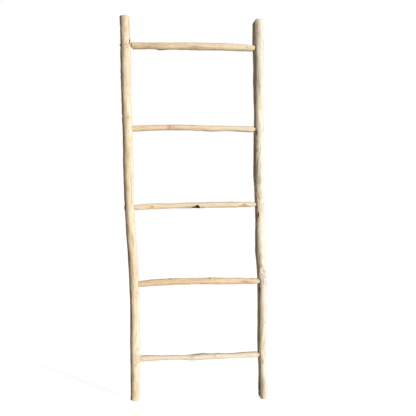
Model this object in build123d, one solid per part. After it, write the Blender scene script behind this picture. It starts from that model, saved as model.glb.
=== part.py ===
from build123d import *
import math
import os

# A display ladder of peeled and bleached branches: two upright rails, five rungs whose whittled
# tenons pass through holes bored in the rails, and one steel nail across each joint.
# The origin lies on the floor, in the middle of the ladder's width and depth. Seen from the
# front, +X runs to the right, +Y to the back and +Z up. All lengths are in millimetres.

# Whole ladder
ladder_height = 1500.0
overall_width = 563.0
right_rail_shortfall = 24.0

# Rails
left_rail_diameter = 40.0
right_rail_diameter = 40.0
left_rail_sway = 24.0
right_rail_sway = 7.0
rail_bow = 4.0
rail_top_chamfer = 3.0
rail_foot_chamfer = 3.5
slant_cut_width = 13.0
slant_cut_height = 12.5
foot_cut_width = 10.0
foot_cut_height = 11.0

# Rungs
lowest_rung_height = 166.5
top_rung_drop = 125.5
rung_diameter = 25.0
rung_tilt = 17.0
rung_sway = 7.0
rung_bow = 3.0
rung_offset = 3.5

# Joints
bore_diameter = 20.0
glue_gap = 0.1
socket_depth = 10.0
shoulder_length = 2.0
round_end_length = 8.0
tenon_proud = 2.5
tenon_end_chamfer = 1.0

# Nails
nail_diameter = 1.8
nail_head_diameter = 3.6
nail_head_thickness = 1.0
nail_length = 25.0
nail_point_length = 3.0
nail_sink = 0.6
nail_inset = 5.0
nail_gap = 0.05

# Knot hole in the middle rung
knot_hole_length = 31.0
knot_hole_height = 12.0
knot_hole_depth = 4.5
knot_hole_drop = 4.0

# Every cut runs this far past the wood
cut_overrun = 30.0

# The branches are shaped by cross sections about this far apart
section_step = 20.0

# A rail's stations from the floor up, each with its height as a share of the rail's length, how
# far the middle line lies inward as a share of the sway, how far back as a share of the bow, and
# the widths across and from front to back as shares of the diameter
left_rail_shares = (
    (0.000, 0.85, 0.0, 0.94, 0.96),
    (0.060, 0.89, 0.5, 0.96, 0.95),
    (0.107, 0.94, 0.8, 1.01, 0.98),
    (0.157, 0.96, 0.9, 1.02, 1.00),
    (0.233, 1.00, 0.8, 0.98, 1.01),
    (0.303, 0.92, 0.3, 0.97, 0.98),
    (0.373, 0.79, -0.2, 0.99, 0.96),
    (0.427, 0.60, -0.6, 1.00, 0.97),
    (0.480, 0.43, -0.9, 0.95, 0.98),
    (0.547, 0.31, -1.0, 0.97, 1.00),
    (0.613, 0.30, -0.7, 1.06, 1.02),
    (0.657, 0.26, -0.4, 1.00, 1.00),
    (0.707, 0.22, 0.0, 0.99, 0.97),
    (0.780, 0.12, 0.5, 1.02, 0.99),
    (0.840, 0.05, 0.8, 1.03, 1.01),
    (0.917, 0.09, 0.6, 1.06, 1.03),
    (0.960, 0.05, 0.4, 0.99, 1.01),
    (1.000, 0.00, 0.1, 0.99, 0.99),
)
right_rail_shares = (
    (0.000, 0.40, 0.0, 0.88, 0.90),
    (0.041, 0.36, -0.3, 0.91, 0.91),
    (0.078, 0.43, -0.6, 0.83, 0.88),
    (0.102, 0.69, -0.7, 0.81, 0.88),
    (0.146, 0.80, -0.8, 0.85, 0.89),
    (0.203, 0.37, -0.6, 0.89, 0.90),
    (0.251, 0.20, -0.3, 0.89, 0.92),
    (0.318, 0.06, 0.2, 0.91, 0.93),
    (0.349, 0.40, 0.4, 0.90, 0.94),
    (0.393, 0.76, 0.6, 0.98, 0.96),
    (0.447, 0.76, 0.9, 0.93, 0.95),
    (0.498, 0.66, 1.0, 0.94, 0.94),
    (0.583, 1.00, 0.7, 1.00, 0.97),
    (0.630, 0.86, 0.4, 1.05, 1.00),
    (0.684, 0.66, 0.0, 1.03, 1.02),
    (0.738, 0.41, -0.4, 1.02, 1.03),
    (0.789, 0.29, -0.6, 1.06, 1.04),
    (0.854, 0.21, -0.5, 1.06, 1.05),
    (0.894, 0.11, -0.3, 1.07, 1.06),
    (0.949, 0.20, 0.0, 1.12, 1.08),
    (1.000, 0.00, 0.2, 1.10, 1.08),
)

# A rung's stations from left to right between its round ends, each with its place as a share
# of that length, its rise as a share of the sway, how far back it lies as a share of the bow,
# and its width as a share of the rung's own diameter
rung_1_shares = (
    (0.00, 0.00, 0.0, 0.99),
    (0.11, 0.17, 0.3, 0.94),
    (0.23, 0.15, 0.6, 1.01),
    (0.34, 0.34, 0.9, 0.98),
    (0.45, 0.50, 1.0, 0.96),
    (0.56, 0.46, 0.8, 1.04),
    (0.67, 0.32, 0.6, 1.09),
    (0.78, 0.33, 0.3, 1.09),
    (0.89, 0.28, 0.1, 0.99),
    (1.00, 0.00, 0.0, 0.89),
)
rung_2_shares = (
    (0.00, 0.00, 0.0, 1.05),
    (0.11, 0.36, -0.2, 1.01),
    (0.23, 0.60, -0.5, 0.98),
    (0.34, 0.73, -0.7, 0.99),
    (0.45, 0.69, -0.9, 0.98),
    (0.56, 0.50, -1.0, 1.00),
    (0.66, 0.20, -0.8, 1.03),
    (0.77, 0.46, -0.5, 0.93),
    (0.89, 0.28, -0.2, 0.98),
    (1.00, 0.00, 0.0, 1.09),
)
rung_3_shares = (
    (0.00, 0.00, 0.0, 0.92),
    (0.10, 0.36, 0.3, 1.06),
    (0.22, 0.48, 0.6, 1.04),
    (0.33, 0.38, 0.8, 0.96),
    (0.44, 0.40, 0.7, 1.05),
    (0.54, 0.40, 0.5, 0.98),
    (0.65, 0.33, 0.2, 1.02),
    (0.77, 0.22, 0.0, 1.01),
    (0.89, 0.17, -0.2, 0.97),
    (1.00, 0.00, 0.0, 0.89),
)
rung_4_shares = (
    (0.00, 0.10, 0.0, 0.94),
    (0.11, 0.50, -0.3, 0.98),
    (0.22, 0.74, -0.5, 1.01),
    (0.33, 0.98, -0.6, 1.02),
    (0.44, 0.92, -0.5, 0.99),
    (0.55, 0.77, -0.2, 0.98),
    (0.66, 0.67, 0.2, 1.01),
    (0.77, 0.54, 0.5, 1.00),
    (0.89, 0.34, 0.4, 0.93),
    (1.00, 0.00, 0.0, 0.86),
)
rung_5_shares = (
    (0.00, 0.00, 0.0, 1.07),
    (0.11, 0.07, 0.2, 1.04),
    (0.22, 0.05, 0.5, 0.93),
    (0.33, -0.12, 0.6, 0.90),
    (0.43, -0.32, 0.5, 1.06),
    (0.53, -0.25, 0.3, 1.13),
    (0.64, -0.03, 0.1, 1.08),
    (0.75, -0.19, -0.2, 1.01),
    (0.88, -0.06, -0.3, 1.00),
    (1.00, 0.00, 0.0, 1.04),
)

# The rungs from the top down, each with how far it sits off an even spacing as a share of that
# spacing, its rise from left to right as a share of the tilt, its diameter as a share of the
# rung diameter, how far its left and right tenons stand out as shares of the proud length, and
# its stations
rungs = (
    (0.000, -1.00, 1.14, 1.0, 0.3, rung_1_shares),
    (-0.060, -0.60, 0.92, 0.2, 0.2, rung_2_shares),
    (-0.055, 0.30, 0.91, 0.9, 0.2, rung_3_shares),
    (-0.044, 0.26, 1.11, 0.2, 0.2, rung_4_shares),
    (0.000, 0.65, 0.91, 0.2, 0.2, rung_5_shares),
)

# A nail's tip is this share of its shank's width
nail_tip_share = 0.25

# The knot's hollow lies this share of the middle rung's length from its left round end
knot_place_share = 0.535

# Sizes that follow
left = -1
right = 1
below = (Align.CENTER, Align.CENTER, Align.MAX)
above = (Align.CENTER, Align.CENTER, Align.MIN)
tenon_diameter = bore_diameter - 2 * glue_gap
rung_count = len(rungs)
rung_spacing = (ladder_height - top_rung_drop - lowest_rung_height) / (rung_count - 1)


def column_at(stations, place, column):
    """A column of a table of stations at a place, on a smooth curve through the stations."""
    last = len(stations) - 1
    start = max(number for number in range(last) if stations[number][0] <= place)

    def slope(number):
        before = stations[max(number - 1, 0)]
        after = stations[min(number + 1, last)]
        return (after[column] - before[column]) / (after[0] - before[0])

    low, high = stations[start], stations[start + 1]
    step = high[0] - low[0]
    part = (place - low[0]) / step
    from_low = (1 + 2 * part) * (1 - part) ** 2 * low[column]
    from_high = part**2 * (3 - 2 * part) * high[column]
    low_bend = part * (1 - part) ** 2 * step * slope(start)
    high_bend = part**2 * (part - 1) * step * slope(start + 1)
    return from_low + from_high + low_bend + high_bend


def even_places(length):
    """Places from 0 to 1 along a length, about one section step apart."""
    steps = math.ceil(length / section_step)
    return [number / steps for number in range(steps + 1)]


class Rail:
    """An upright branch: its length, its middle line and its widths at any height."""

    def __init__(self, side, length, diameter, sway, stations):
        self.side = side
        self.length = length
        self.diameter = diameter
        self.sway = sway
        self.stations = stations
        self.reach = overall_width / 2 - diameter * stations[-1][3] / 2

    def middle(self, place):
        """The middle line's X and Y at a share of the rail's length."""
        inward = column_at(self.stations, place, 1) * self.sway
        back = column_at(self.stations, place, 2) * rail_bow
        return self.side * (self.reach - inward), self.side * rung_offset + back

    def half_widths(self, place):
        """Half the width across and half the width from front to back."""
        across = column_at(self.stations, place, 3) * self.diameter / 2
        deep = column_at(self.stations, place, 4) * self.diameter / 2
        return across, deep

    def wood(self):
        """The plain branch, with no holes yet."""
        sections = []
        for place in even_places(self.length):
            x, y = self.middle(place)
            across, deep = self.half_widths(place)
            level = Plane((x, y, place * self.length))
            sections.append(level * Ellipse(across, deep))
        branch = loft(sections, ruled=True)
        branch = chamfer(branch.faces().sort_by(Axis.Z)[-1].edges(), rail_top_chamfer)
        return chamfer(branch.faces().sort_by(Axis.Z)[0].edges(), rail_foot_chamfer)


class Joint:
    """Where a rung's end sits in a socket of its own width, and its tenon passes through the rail."""

    def __init__(self, rail, height, proud, width):
        self.rail = rail
        self.height = height
        place = height / rail.length
        self.x, middle_y = rail.middle(place)
        self.across, self.deep = rail.half_widths(place)
        self.rail_y = middle_y
        self.y = middle_y - rail.side * rung_offset
        off_middle = rung_offset / self.deep
        outer = self.across * math.sqrt(1 - off_middle**2) + proud
        self.width = width
        self.tenon_end = self.x + rail.side * outer
        self.edge = self.x - rail.side * self.across
        self.shoulder = self.edge + rail.side * socket_depth
        self.start = self.edge - rail.side * round_end_length

    def bore(self):
        """The hole that the tenon fills, and the wider socket for the rung's end."""
        length = 2 * (self.across + cut_overrun)
        at = Plane((self.x, self.y, self.height), z_dir=(1, 0, 0))
        seat = Plane((self.shoulder, self.y, self.height), z_dir=(-self.rail.side, 0, 0))
        socket = Cylinder(self.width / 2 + glue_gap, socket_depth + cut_overrun, align=above)
        return at * Cylinder(bore_diameter / 2, length) + seat * socket

    def nail_seat(self, facing):
        """The plane on which the nail's head lies, its normal pointing out of the wood."""
        off_middle = nail_inset / self.across
        surface = self.deep * math.sqrt(1 - off_middle**2)
        depth = surface - nail_sink - nail_head_thickness
        place = (self.x - self.rail.side * nail_inset, self.rail_y + facing * depth, self.height)
        return Plane(place, z_dir=(0, facing, 0))

    def nail(self, facing):
        """A nail with a flat round head and a tapered point."""
        seat = self.nail_seat(facing)
        straight = nail_length - nail_point_length
        tip = nail_diameter / 2 * nail_tip_share
        head = Cylinder(nail_head_diameter / 2, nail_head_thickness, align=above)
        shank = Cylinder(nail_diameter / 2, straight, align=below)
        point = Cone(tip, nail_diameter / 2, nail_point_length, align=below)
        return seat * (head + shank + Pos(0, 0, -straight) * point)

    def nail_hole(self, facing):
        """The nail's own hole, with a pocket in which its head is sunk."""
        seat = self.nail_seat(facing)
        pocket = Cylinder(nail_head_diameter / 2 + nail_gap, cut_overrun, align=above)
        shaft = Cylinder(nail_diameter / 2 + nail_gap, nail_length + nail_gap, align=below)
        return seat * (pocket + shaft)


def round_end(joint):
    """A rung's end: as wide as the rung until it is let into the rail, then the thinner tenon."""
    tenon = tenon_diameter / 2
    full = round_end_length + socket_depth
    length = abs(joint.tenon_end - joint.start)
    outline = Polyline(
        (0, 0),
        (joint.width / 2, 0),
        (joint.width / 2, full - shoulder_length),
        (tenon, full),
        (tenon, length - tenon_end_chamfer),
        (tenon - tenon_end_chamfer, length),
        (0, length),
        close=True,
    )
    seat = Plane((joint.start, joint.y, joint.height), z_dir=(joint.rail.side, 0, 0))
    return seat * revolve(Plane.XZ * make_face(outline), Axis.Z)


def rung_wood(diameter, stations, left_joint, right_joint):
    """A rung: its swelling and bending body, and a round end with its tenon on each side."""
    start = left_joint.start
    span = right_joint.start - start
    rise = right_joint.height - left_joint.height
    back = right_joint.y - left_joint.y
    sections = []
    for place in even_places(span):
        y = left_joint.y + place * back + column_at(stations, place, 2) * rung_bow
        z = left_joint.height + place * rise + column_at(stations, place, 1) * rung_sway
        level = Plane((start + place * span, y, z), z_dir=(1, 0, 0))
        sections.append(level * Circle(column_at(stations, place, 3) * diameter / 2))
    return round_end(left_joint) + loft(sections, ruled=True) + round_end(right_joint)


def knot_hollow(left_joint, right_joint, diameter):
    """The long hollow that a knot left in the middle rung, low on its front."""
    x = left_joint.start + knot_place_share * (right_joint.start - left_joint.start)
    z = (left_joint.height + right_joint.height) / 2 - knot_hole_drop
    y = (left_joint.y + right_joint.y) / 2 - diameter / 2
    hollow = scale(Sphere(1), by=(knot_hole_length / 2, knot_hole_depth, knot_hole_height / 2))
    return Pos(x, y, z) * hollow


# Rails before boring
rails = {
    left: Rail(left, ladder_height, left_rail_diameter, left_rail_sway, left_rail_shares),
    right: Rail(
        right,
        ladder_height - right_rail_shortfall,
        right_rail_diameter,
        right_rail_sway,
        right_rail_shares,
    ),
}
rail_wood = {side: rails[side].wood() for side in rails}

# The right rail's inner corner is sawn off on a slant at the top and at the foot
for end, facing, cut_width, cut_height in (
    (1.0, 1, slant_cut_width, slant_cut_height),
    (0.0, -1, foot_cut_width, foot_cut_height),
):
    end_x, end_y = rails[right].middle(end)
    end_across, end_deep = rails[right].half_widths(end)
    corner = Polyline(
        (-cut_width, -facing * cut_height),
        (0, -facing * cut_height),
        (cut_width, 0),
        (cut_width, facing * cut_height),
        (-cut_width, facing * cut_height),
        close=True,
    )
    wedge = extrude(make_face(Plane.XZ * corner), end_deep + cut_overrun, both=True)
    corner_place = Pos(end_x - end_across, end_y, end * rails[right].length)
    rail_wood[right] -= corner_place * wedge

# Rungs, their holes in the rails and the nails, from the top rung down
pieces = {}
for number, (lift, tilt, stoutness, left_proud, right_proud, stations) in enumerate(rungs, 1):
    height = lowest_rung_height + (rung_count - number + lift) * rung_spacing
    half_rise = tilt * rung_tilt / 2
    diameter = stoutness * rung_diameter
    joints = {
        left: Joint(
            rails[left],
            height - half_rise,
            left_proud * tenon_proud,
            stations[0][3] * diameter,
        ),
        right: Joint(
            rails[right],
            height + half_rise,
            right_proud * tenon_proud,
            stations[-1][3] * diameter,
        ),
    }
    rung = rung_wood(diameter, stations, joints[left], joints[right])
    if stations is rung_3_shares:
        rung -= knot_hollow(joints[left], joints[right], diameter)
    for side, word in ((left, "left"), (right, "right")):
        joint = joints[side]
        # Only the top rung's left nail is driven from the front, the others from behind
        facing = -1 if number == 1 and side == left else 1
        hole = joint.nail_hole(facing)
        rail_wood[side] -= joint.bore()
        rail_wood[side] -= hole
        rung -= hole
        pieces[f"nail_{number}_{word}"] = joint.nail(facing)
    pieces[f"rung_{number}"] = rung

pieces["left_rail"] = rail_wood[left]
pieces["right_rail"] = rail_wood[right]

os.makedirs("parts", exist_ok=True)
for name, piece in sorted(pieces.items()):
    export_step(piece, f"parts/{name}.step")
    print(name, round(piece.volume), "mm3")
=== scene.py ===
import math

import bmesh
import bpy
import numpy as np
from mathutils import Matrix, Vector
from mathutils.bvhtree import BVHTree


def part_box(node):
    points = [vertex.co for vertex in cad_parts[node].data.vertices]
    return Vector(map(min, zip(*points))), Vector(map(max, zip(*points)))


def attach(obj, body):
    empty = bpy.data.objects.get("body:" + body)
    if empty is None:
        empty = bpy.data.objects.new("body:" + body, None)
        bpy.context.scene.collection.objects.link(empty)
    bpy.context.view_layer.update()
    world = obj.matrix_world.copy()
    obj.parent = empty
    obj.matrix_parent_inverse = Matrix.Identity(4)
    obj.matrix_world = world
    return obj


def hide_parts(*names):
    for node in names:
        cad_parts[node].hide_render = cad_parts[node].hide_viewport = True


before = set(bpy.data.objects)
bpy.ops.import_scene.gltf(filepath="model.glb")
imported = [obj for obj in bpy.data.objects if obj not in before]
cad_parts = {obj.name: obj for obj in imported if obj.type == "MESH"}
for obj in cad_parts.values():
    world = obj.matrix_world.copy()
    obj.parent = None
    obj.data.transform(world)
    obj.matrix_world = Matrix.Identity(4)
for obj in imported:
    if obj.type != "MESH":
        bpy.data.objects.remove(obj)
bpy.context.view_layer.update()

# A decorative ladder of peeled and bleached branches. Every branch is a mesh that is wrapped round
# the middle line and the widths of its CAD node, with hand-cut flats, knots, dents and cracks.
# All lengths are in metres. Seen from the front, +X runs to the right, +Y to the back, +Z up.
# An angle round a rail is 0 at the front and 90 at its right, and an angle round a rung is 0 at
# the front and 90 on top, in degrees.

# How finely the branches are made
rail_ring_step = 0.0022
rail_girth_points = 120
rung_ring_step = 0.0015
rung_girth_points = 84
edge_rings = 4
cap_rings = 12
rail_probe_step = 0.005
rung_probe_step = 0.0015
smooth_span = 5
probe_reach = 0.2
probe_passes = 3
bore_sides = 72
share_slack = 1e-6

# Sizes at the ends and the joints
rail_edge_round = 0.0032
rung_edge_round = 0.0011
bore_radius = 0.01
socket_depth = 0.01
socket_gap = 0.0001
pocket_radius = 0.00185
pocket_inside = 0.0012
pocket_outside = 0.012
cutter_overrun = 0.03
joint_margin = 0.015
flush_trim = 0.0012
nail_margin = 0.003
rail_end_margin = 0.016
rung_end_margin = 0.002
end_zone = 0.06
slant_limit = 2
neck_fade = 3

# The rungs, and the side of each rail with the way along X to the middle of the ladder
rung_count = 5
inward = {"left": 1, "right": -1}

# Seeds for the flats follow those for the waves
flat_seed = 500

# Waves in the surface: the longest, the shortest and the most lobes round the girth
wave_count = 28
rough_wave = (0.3, 0.06, 4)
fine_wave = (0.05, 0.014, 7)
flute_wave = (0.6, 0.16, 16)
rough_share = 0.8

# How the forms of the surface fade, in units of the size of their mark, and how far they rise
rise_limit = 0.0003
knot_rise_limit = 0.0012
facing_least = 0.5
no_limit = 1.0
dent_reach = 3
dent_fade = 1.5
knot_fade = 0.9
knot_pit_share = 0.6
knot_pit_fade = 7
crack_fade = 2
lip_share = 0.09
lip_reach = 1.15
lip_fade = 14

# How the marks that the material reads fade
far_ring = 9.0
swirl_reach = 5.0
swirl_core = 0.75
knot_edge = 1.25
knot_edge_span = 0.5
stain_fade = 1.4
hollow_edge = 1.12
hollow_edge_span = 0.35
halo_share = 0.8
halo_reach = 1.5
gap_shadow_reach = 0.0024
gap_shadow_facing_start = 0.2
gap_shadow_facing_span = 0.5
below_span = 0.0012
crest_span = 0.0018


def wrapped(angle):
    """An angle in radians between minus and plus half a turn."""
    return (angle + math.pi) % (2 * math.pi) - math.pi


def smooth_step(value):
    value = np.clip(value, 0.0, 1.0)
    return value * value * (3 - 2 * value)


def soft_least(first, second, width):
    """The lesser of two arrays, rounded over where they cross."""
    part = np.clip(0.5 + 0.5 * (second - first) / width, 0.0, 1.0)
    return second + (first - second) * part - width * part * (1 - part)


def flat_limit(away, height):
    """How far a plane at a height lets the surface reach, where the surface faces it."""
    return np.where(away > facing_least, height / np.maximum(away, facing_least), no_limit)


def ripples(seed, place, angle, longest, shortest, lobes):
    """Seeded smooth unevenness, about -1 to 1, that closes round the girth."""
    rng = np.random.default_rng(seed)
    total = np.zeros_like(place)
    for _ in range(wave_count):
        length = longest * (shortest / longest) ** rng.random()
        turns = rng.integers(-lobes, lobes + 1)
        phase = rng.uniform(0, 2 * math.pi)
        total += np.cos(turns * angle + 2 * math.pi * place / length + phase)
    return total / math.sqrt(2 * wave_count)


class Branch:
    """A peeled branch: its middle line and widths, read from its CAD node, and its marks."""

    def __init__(self, node, upright, seed, holes, hole_margin, end_margin, probe_step):
        self.node = node
        self.upright = upright
        self.seed = seed
        self.low, self.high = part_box(node)
        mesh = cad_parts[node].data
        corners = [corner.co.copy() for corner in mesh.vertices]
        faces = [tuple(face.vertices) for face in mesh.polygons]
        self.tree = BVHTree.FromPolygons(corners, faces)
        self.start = self.low.z if upright else self.low.x
        self.end = self.high.z if upright else self.high.x
        self.measure(holes, hole_margin, end_margin, probe_step)
        self.flats, self.knots, self.stains, self.cracks, self.hollows = [], [], [], [], []
        self.dents, self.whittle, self.ends, self.tapers = [], [], [], []
        self.neck = None
        self.spiral = 0.0
        self.oval = ((0.0,), (0.0,), 0.0)
        self.top = self.foot = (0.0, 1.0, 0.0, 0.0)

    def unevenness(self, rough, fine, flute, crease, calm, planed):
        """Sets the depth of the waves, the softness of creases and how far the ends stay calm."""
        self.rough, self.fine, self.flute = rough, fine, flute
        self.crease, self.calm, self.planed = crease, calm, planed

    def probe(self, place, side, y, to_side, to_back):
        """The side and Y where a ray across the branch meets its node, or None."""
        spot, way = (side, y, place), (to_side, to_back, 0)
        if not self.upright:
            spot, way = spot[::-1], way[::-1]
        hit = self.tree.ray_cast(Vector(spot), Vector(way))[0]
        if hit is None:
            return None
        return (hit.x if self.upright else hit.z), hit.y

    def section(self, place):
        """The middle's side and Y and the half widths at a place, or None at a hole."""
        low_side = (self.low.x if self.upright else self.low.z) - probe_reach
        high_side = (self.high.x if self.upright else self.high.z) + probe_reach
        y = (self.low.y + self.high.y) / 2
        for _ in range(probe_passes):
            one = self.probe(place, low_side, y, 1, 0)
            other = self.probe(place, high_side, y, -1, 0)
            if one is None or other is None:
                return None
            side, half_side = (one[0] + other[0]) / 2, (other[0] - one[0]) / 2
            back = self.probe(place, side, self.high.y + probe_reach, 0, -1)
            front = self.probe(place, side, self.low.y - probe_reach, 0, 1)
            if back is None or front is None:
                return None
            half_y = (back[1] - front[1]) / 2 if self.upright else half_side
            y = back[1] - half_y
        return side, y, half_side, half_y

    def measure(self, holes, hole_margin, end_margin, probe_step):
        """Reads the sections from end to end, apart from the stretches with holes."""
        count = int((self.end - self.start - 2 * end_margin) / probe_step) + 1
        rows = []
        for place in np.linspace(self.start + end_margin, self.end - end_margin, count):
            if all(abs(place - hole) >= hole_margin for hole in holes):
                found = self.section(place)
                if found:
                    rows.append((place, *found))
        table = np.array(rows)
        self.places = np.linspace(table[0, 0], table[-1, 0], count)
        self.columns = [np.interp(self.places, table[:, 0], column) for column in table.T[1:]]
        if self.upright:
            kernel = np.ones(smooth_span) / smooth_span
            padded = [np.pad(column, smooth_span // 2, "edge") for column in self.columns]
            self.columns = [np.convolve(column, kernel, "valid") for column in padded]

    def at(self, place):
        """Side and Y of the middle line, and the two half widths."""
        return [np.interp(place, self.places, column) for column in self.columns]

    def plain_radius(self, place, angle):
        half_side, half_y = self.at(place)[2:]
        plain = half_side * half_y / np.hypot(half_y * np.sin(angle), half_side * np.cos(angle))
        places, shares, degrees = self.oval
        share = np.interp(place, places, shares)
        return plain * (1 + share * np.cos(2 * (angle - math.radians(degrees))))

    def scatter_flats(self, count, lengths, depths, twist):
        """Adds the shallow lens-shaped flats that a drawknife leaves, at seeded places."""
        rng = np.random.default_rng(self.seed + flat_seed)
        for _ in range(count):
            place = rng.uniform(self.start, self.end)
            degrees = rng.uniform(-180, 180)
            half, depth = rng.uniform(*lengths), rng.uniform(*depths)
            self.flats.append((place, degrees, half, depth, rng.uniform(-twist, twist)))

    def reach(self, place, angle, mark, plain):
        """How far a point lies from a mark in units of its size, and how far round from it."""
        at, degrees, length, width = mark[:4]
        across = plain * wrapped(angle - math.radians(degrees))
        return np.hypot((place - at) / length, across / width), across

    def crack_at(self, place, angle, crack, plain):
        """How deep in a crack a point lies, from 0 to 1."""
        at, degrees, half, width, depth, lean = crack
        part = (place - at) / half
        off = plain * wrapped(angle - np.radians(degrees + lean * np.clip(part, -1, 1))) / width
        return np.clip(1 - part**2, 0, 1) ** 0.5 * np.exp(-crack_fade * off**2)

    def radius(self, place, angle):
        """The distance from the middle line to the surface, with every form on it."""
        plain = self.plain_radius(place, angle)
        calm = smooth_step(np.minimum(place - self.start, self.end - place) / self.calm)
        found = plain - calm * (self.rough * rough_share + self.planed)
        waves = ((self.rough, rough_wave), (self.fine, fine_wave), (self.flute, flute_wave))
        for step, (depth, wave) in enumerate(waves):
            found = found + calm * depth * ripples(self.seed + step, place, angle, *wave)
        for at, degrees, half, depth, *twist in self.flats:
            here = np.abs(place - at) < half
            if here.any():
                part = (place[here] - at) / half
                middle = np.radians(degrees + sum(twist) * part / 2)
                away = np.cos(wrapped(angle[here] - middle))
                height = self.plain_radius(place[here], middle) - depth * (1 - part**2)
                found[here] = soft_least(found[here], flat_limit(away, height), self.crease)
        for at, degrees, half, depth in self.whittle:
            part = (place - at) / half
            away = np.cos(wrapped(angle - math.radians(degrees)))
            height = plain - depth * np.clip(1 - part**2, 0, 1)
            limit = np.where(np.abs(part) < 1, flat_limit(away, height), no_limit)
            found = np.minimum(found, limit)
        if self.neck:
            found = np.minimum(found, self.neck_limit(place, angle))
        for *mark, depth in self.dents:
            here = np.abs(place - mark[0]) < dent_reach * mark[2]
            if here.any():
                reach = self.reach(place[here], angle[here], mark, plain[here])[0]
                found[here] -= depth * np.exp(-dent_fade * reach**2)
        for knot in self.knots:
            reach = self.reach(place, angle, knot, plain)[0]
            rise = knot[4]
            found = found + rise * np.exp(-knot_fade * reach**2)
            found = found - knot_pit_share * abs(rise) * np.exp(-knot_pit_fade * reach**2)
        for crack in self.cracks:
            found = found - crack[4] * self.crack_at(place, angle, crack, plain)
        for *hollow, depth, _ in self.hollows:
            reach = self.reach(place, angle, hollow, plain)[0]
            found = found - depth * np.clip(1 - reach**2, 0, 1) ** 0.5
            found = found + lip_share * depth * np.exp(-lip_fade * (reach - lip_reach) ** 2)
        found = found * self.tapered(place)
        return np.minimum(found, plain + rise_limit + (knot_rise_limit - rise_limit) * calm)

    def tapered(self, place):
        """What the tapers leave of the radius at a place."""
        left = 1.0
        for at, sign, length, share in self.tapers:
            left = left * (1 - share * smooth_step(1 - sign * (place - at) / length))
        return left

    def neck_limit(self, place, angle):
        """The surface of an end cut to an off-centre round neck, with a slant back to full width."""
        edge, offset, size, slope = self.neck
        out = np.maximum(place - edge, 0.0)
        middle = offset * np.clip(1 - out / (neck_fade * size), 0, 1)
        size = size + slope * out
        return middle * np.sin(angle) + np.sqrt(size**2 - (middle * np.cos(angle)) ** 2)

    def to_world(self, place, angle, radius):
        side, y = self.at(place)[:2]
        side = side + radius * np.sin(angle)
        y = y - radius * np.cos(angle)
        return np.stack((side, y, place) if self.upright else (place, y, side), -1)

    def from_world(self, spots):
        """The place, angle and distance from the middle line of each point."""
        side, y, place = (spots if self.upright else spots[:, ::-1]).T
        middle_side, middle_y = self.at(place)[:2]
        side = side - middle_side
        forward = middle_y - y
        return place, np.arctan2(side, forward), np.hypot(side, forward)

    def slant_ends(self, spots):
        """Takes a corner off the top and the foot, and slants both from front to back."""
        for sign, end, cut_and_slope in ((-1, self.end, self.top), (1, self.start, self.foot)):
            corner, width, height, slope = cut_and_slope
            back = self.at(end)[1] + self.at(end)[3]
            shift = height * np.clip(1 - (spots[:, 0] - corner) / width, 0, slant_limit)
            shift += slope * (back - spots[:, 1])
            away = sign * (spots[:, 2] - end)
            spots[:, 2] += sign * shift * np.clip(1 - away / end_zone, 0, 1)

    def wood(self, ring_step, girth, edge_round):
        """The closed mesh of the branch, with its ends sawn and their edges rounded."""
        half = float(np.mean(self.columns[2]))
        cap = []
        for step in range(edge_rings + 1):
            turn = math.pi / 2 * step / edge_rings
            inset = edge_round * (1 - math.sin(turn))
            cap.append((inset, 1 - edge_round / half * (1 - math.cos(turn))))
        rim = cap[-1][1]
        cap += [(0.0, rim * (1 - ring / cap_rings)) for ring in range(1, cap_rings)]
        count = int((self.end - self.start - 2 * edge_round) / ring_step)
        between = np.linspace(self.start + edge_round, self.end - edge_round, count + 1)[1:-1]
        rows = [(self.start + inset, share) for inset, share in reversed(cap)]
        rows += [(place, 1.0) for place in between]
        rows += [(self.end - inset, share) for inset, share in cap]
        place, share = (column[:, None] * np.ones(girth) for column in np.array(rows).T)
        angle = np.linspace(-math.pi, math.pi, girth, endpoint=False) * np.ones((len(rows), 1))
        spots = self.to_world(place, angle, self.radius(place, angle) * share).reshape(-1, 3)
        ends = self.to_world(np.array([self.start, self.end]), np.zeros(2), np.zeros(2))
        spots = np.vstack([spots, ends])
        self.slant_ends(spots)
        spots = np.clip(spots, self.low, self.high)
        sawn = np.append((share.ravel() < rim + share_slack).astype(np.float32), [1.0, 1.0])
        first, last, top = len(rows) * girth, len(rows) * girth + 1, (len(rows) - 1) * girth
        around = [(n, (n + 1) % girth) for n in range(girth)]
        faces = [
            (base + a, base + b, base + girth + b, base + girth + a)
            for base in range(0, top, girth) for a, b in around
        ]
        faces += [(first, b, a) for a, b in around]
        faces += [(last, top + a, top + b) for a, b in around]
        if not self.upright:
            faces = [face[::-1] for face in faces]
        mesh = bpy.data.meshes.new(self.node + "_shape")
        mesh.from_pydata(spots.tolist(), [], faces)
        layer = mesh.attributes.new("sawn", "FLOAT", "POINT")
        layer.data.foreach_set("value", sawn)
        return place_object(self.node + "_wood", mesh)


def place_object(name, mesh):
    piece = bpy.data.objects.new(name, mesh)
    bpy.context.scene.collection.objects.link(piece)
    return piece


def drum(start, end, radius):
    """A round cutter from one point to another."""
    axis = end - start
    builder = bmesh.new()
    bmesh.ops.create_cone(
        builder, cap_ends=True, segments=bore_sides, radius1=radius, radius2=radius, depth=axis.length
    )
    mesh = bpy.data.meshes.new("cutter")
    builder.to_mesh(mesh)
    builder.free()
    mesh.transform(axis.to_track_quat("Z", "Y").to_matrix().to_4x4())
    mesh.transform(Matrix.Translation((start + end) / 2))
    return place_object("cutter", mesh)


def cut(piece, cutters):
    """Cuts closed meshes out of the piece and deletes them."""
    for cutter in cutters:
        modifier = piece.modifiers.new("cut", "BOOLEAN")
        modifier.operation = "DIFFERENCE"
        modifier.solver = "MANIFOLD"
        modifier.object = cutter
    graph = bpy.context.evaluated_depsgraph_get()
    piece.data = bpy.data.meshes.new_from_object(piece.evaluated_get(graph))
    piece.modifiers.clear()
    for cutter in cutters:
        bpy.data.objects.remove(cutter)


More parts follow.
